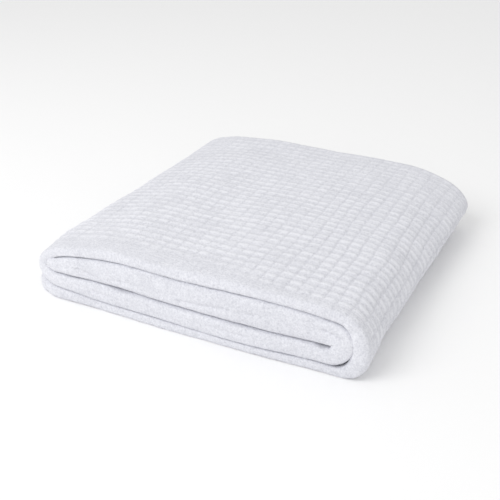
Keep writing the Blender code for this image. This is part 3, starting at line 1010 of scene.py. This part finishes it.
BAR_HEIGHT, YARN_HEIGHT, FUZZ_HEIGHT, GRAIN_HEIGHT = 0.5, 0.6, 1.2, 1.4  # shares of it
SHADE_START = -0.80  # the shade goes from 0, the greyer cotton of painted shade and dark specks, to 1, and these add to it
# shares of the painted highlight of each puff, of the floats, partly random tone and partly painted shade
# between them, and of the yarns; then of the specks and patches, which are random tone
HIGHLIGHT_SHADE, BAR_SHADE, YARN_SHADE = 0.48, 0.10, 0.30
FUZZ_SHADE, GRAIN_SHADE, CLOUD_SHADE = 1.2, 0.8, 0.35

print("Each cell has", int(FLOATS), "floats, and the specks of fuzz are", 1000 * FUZZ_SIZE, "mm wide")

# %% [markdown]
# Nodes could be wired by hand in the editor. In a script, a few helpers keep that readable: each makes one
# small step and gives back the socket with its result.

# %% Helpers for nodes
def add(tree, kind, inputs=None, **settings):
    """A node with its settings, and with numbers or links for its inputs."""
    node = tree.nodes.new("ShaderNode" + kind)
    for name, value in settings.items():
        setattr(node, name, value)
    for name, value in (inputs or {}).items():
        if isinstance(value, bpy.types.NodeSocket):
            tree.links.new(value, node.inputs[name])
        else:
            node.inputs[name].default_value = value
    return node


def maths(tree, operation, first, second=0.0, third=0.0, clamp=False):
    numbers = {0: first, 1: second, 2: third}
    return add(tree, "Math", numbers, operation=operation, use_clamp=clamp).outputs[0]


def product(tree, first, second):
    return maths(tree, "MULTIPLY", first, second)


def between(tree, value, power):
    """1 in the middle of each cell, falling to 0 on its edges, the steeper the higher the power."""
    from_middle = maths(tree, "ABSOLUTE", maths(tree, "SUBTRACT", maths(tree, "FRACT", value), 0.5))
    return maths(tree, "SUBTRACT", 1.0, maths(tree, "POWER", product(tree, from_middle, 2.0), power))


def hill(tree, value):
    """1 in the middle of each cell and 0 on its edges, as a soft wave."""
    swing = maths(tree, "COSINE", product(tree, value, 2 * math.pi))
    return maths(tree, "MULTIPLY_ADD", swing, -0.5, 0.5)


def own_value(tree, column, row):
    """A number of its own for each cell, from 0 to 1."""
    corner = {"X": maths(tree, "FLOOR", column), "Y": maths(tree, "FLOOR", row)}
    cell = add(tree, "CombineXYZ", corner).outputs[0]
    return add(tree, "TexWhiteNoise", {"Vector": cell}, noise_dimensions="2D").outputs["Value"]


def yarns(tree, column, row, per_column, per_row):
    """Uneven strokes, so many to a cell each way."""
    stretched = {"X": product(tree, column, per_column), "Y": product(tree, row, per_row)}
    place = add(tree, "CombineXYZ", stretched).outputs[0]
    return add(tree, "TexNoise", {"Vector": place, "Scale": 1.0}).outputs["Fac"]


def specks(tree, size):
    """Specks of one size all over the cloth, which don't stretch where it does."""
    place = add(tree, "TexCoord").outputs["Object"]
    look = {"Vector": place, "Scale": 1.0 / size, "Detail": SPECK_DETAIL}
    return add(tree, "TexNoise", look).outputs["Fac"]


def total(tree, value, *parts):
    """A value and some more, each with its share."""
    for part, share in parts:
        value = maths(tree, "MULTIPLY_ADD", part, share, value)
    return value


trial_tree = bpy.data.node_groups.new("trial", "ShaderNodeTree")
hill(trial_tree, 0.5)
print("One soft hill takes", len(trial_tree.nodes), "nodes")
bpy.data.node_groups.remove(trial_tree)

# %% [markdown]
# Now the cotton itself. The numbers that are the same all over are set on the shader's own sockets. Only its
# tone and its bump are drawn, from the painted highlight and groove shade of each puff, the floats, the yarns
# and the specks.

# %% Cotton
def weave_details(tree):
    """The painted highlight of each cell, with painted shade in its grooves, its floats, and the yarns, all
    by the mesh's own place in the weave.
    """
    weave = add(tree, "Attribute", attribute_name="weave")
    parts = add(tree, "SeparateXYZ", {"Vector": weave.outputs["Vector"]})
    column, row, shows = parts.outputs["X"], parts.outputs["Y"], parts.outputs["Z"]
    roll = add(tree, "Attribute", attribute_name="front_roll").outputs["Fac"]
    visible = maths(tree, "MAXIMUM", shows, FLAT_SHOWS)
    in_column = between(tree, column, COLUMN_EDGE)
    in_row = maths(tree, "POWER", hill(tree, row), HIGHLIGHT_NARROW)
    strength = maths(tree, "ADD", own_value(tree, column, row), HIGHLIGHT_LEAST)
    # A painted highlight in the middle of each puff. Its grooves, and the front rolls where the waffle fades,
    # are left with the greyer cotton as painted shade.
    painted_highlight = product(tree, product(tree, product(tree, in_column, in_row), visible), strength)
    # The floats rise in the bump. In the tone each float has a random brightness, with painted shade on its
    # edges and at the columns' grooves.
    float_row = product(tree, row, FLOATS)
    bar = product(tree, between(tree, float_row, FLOAT_EDGE), own_value(tree, column, float_row))
    bar = product(tree, bar, in_column)
    weft, warp = yarns(tree, column, row, *WEFT_YARNS), yarns(tree, column, row, *WARP_YARNS)
    yarn = add(tree, "Mix", {"Factor": roll, "A": weft, "B": warp}).outputs["Result"]
    return painted_highlight, bar, yarn


def plain_material(name, look):
    """A material of one look: values for the sockets of its shader."""
    material = bpy.data.materials.new(name)
    material.use_nodes = True
    for socket, value in look.items():
        material.node_tree.nodes["Principled BSDF"].inputs[socket].default_value = value
    return material


def cotton_material():
    material = plain_material("white_waffle_cotton", COTTON_LOOK)
    tree = material.node_tree
    shader = tree.nodes["Principled BSDF"]
    painted_highlight, bar, yarn = weave_details(tree)
    fuzz, grain, cloud = (specks(tree, size) for size in (FUZZ_SIZE, GRAIN_SIZE, CLOUD_SIZE))
    rises = (bar, BAR_HEIGHT), (yarn, YARN_HEIGHT), (fuzz, FUZZ_HEIGHT), (grain, GRAIN_HEIGHT)
    height = total(tree, 0.0, *rises)
    bump = add(tree, "Bump", {"Height": height, "Strength": BUMP, "Distance": BUMP_DEEP})
    tree.links.new(bump.outputs["Normal"], shader.inputs["Normal"])
    # The tone: the painted highlight of the puffs with painted shade in their grooves, the floats with
    # painted shade between them, the yarns, and the specks of random tone.
    woven = (painted_highlight, HIGHLIGHT_SHADE), (bar, BAR_SHADE), (yarn, YARN_SHADE)
    specked = (fuzz, FUZZ_SHADE), (grain, GRAIN_SHADE), (cloud, CLOUD_SHADE)
    shade = maths(tree, "MAXIMUM", total(tree, SHADE_START, *woven, *specked), 0.0, clamp=True)
    tone = add(tree, "Mix", {"Factor": shade, "A": COTTON_SHADED, "B": COTTON}, data_type="RGBA")
    tree.links.new(tone.outputs["Result"], shader.inputs["Base Color"])
    return material


blanket.data.materials.append(cotton_material())
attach(blanket, "root")
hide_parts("blanket")
print("The blanket is dressed in", blanket.data.materials[0].name)

# %% [markdown]
# ## The studio
#
# The picture is a shop picture: a white sweep, soft light from all round, a little more of it from the
# front left, and hardly a shadow. Several lamps could be set round the pile, but each would draw a shadow
# of its own. A bright even sky with one large soft lamp draws only a faint one, and the floor is a plain
# pale sheet.

# %% Floor and light
FLOOR_SIZE = 6.0
PAPER = {"Base Color": (0.97, 0.97, 0.97, 1.0), "Roughness": 0.9}
SKY_TONE, SKY_STRENGTH = (1.0, 1.0, 1.0, 1.0), 0.78
LAMP_PLACE, LAMP_SIZE, LAMP_WATTS = (-0.7, -1.5, 1.6), 1.4, 20.0


def floor():
    bm = bmesh.new()
    bmesh.ops.create_grid(bm, x_segments=1, y_segments=1, size=FLOOR_SIZE / 2)
    mesh = bpy.data.meshes.new("studio_floor")
    bm.to_mesh(mesh)
    bm.free()
    mesh.materials.append(plain_material("pale_paper", PAPER))
    sweep = in_scene("studio_floor", mesh)
    sweep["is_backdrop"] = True
    return sweep


def studio_light():
    world = bpy.data.worlds.new("studio_sky")
    world.use_nodes = True
    sky = world.node_tree.nodes["Background"]
    sky.inputs["Color"].default_value = SKY_TONE
    sky.inputs["Strength"].default_value = SKY_STRENGTH
    bpy.context.scene.world = world
    data = bpy.data.lights.new("soft_lamp", "AREA")
    data.size = LAMP_SIZE
    data.energy = LAMP_WATTS
    lamp = in_scene("soft_lamp", data)
    lamp.location = LAMP_PLACE
    lamp.rotation_euler = (-Vector(LAMP_PLACE)).to_track_quat("-Z", "Y").to_euler()


floor()
studio_light()
bpy.context.scene.view_settings.view_transform = "Standard"
print("The studio has a sky of", SKY_STRENGTH, "and one soft lamp of", LAMP_WATTS, "W")

# %% [markdown]
# ## Last measures
#
# The finished blanket has to be as big as the solid that stands for it, so its size is measured.

# %% Sizes and finish
low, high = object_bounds()
print("The finished blanket is", [round(1000 * side, 1) for side in high - low], "mm")
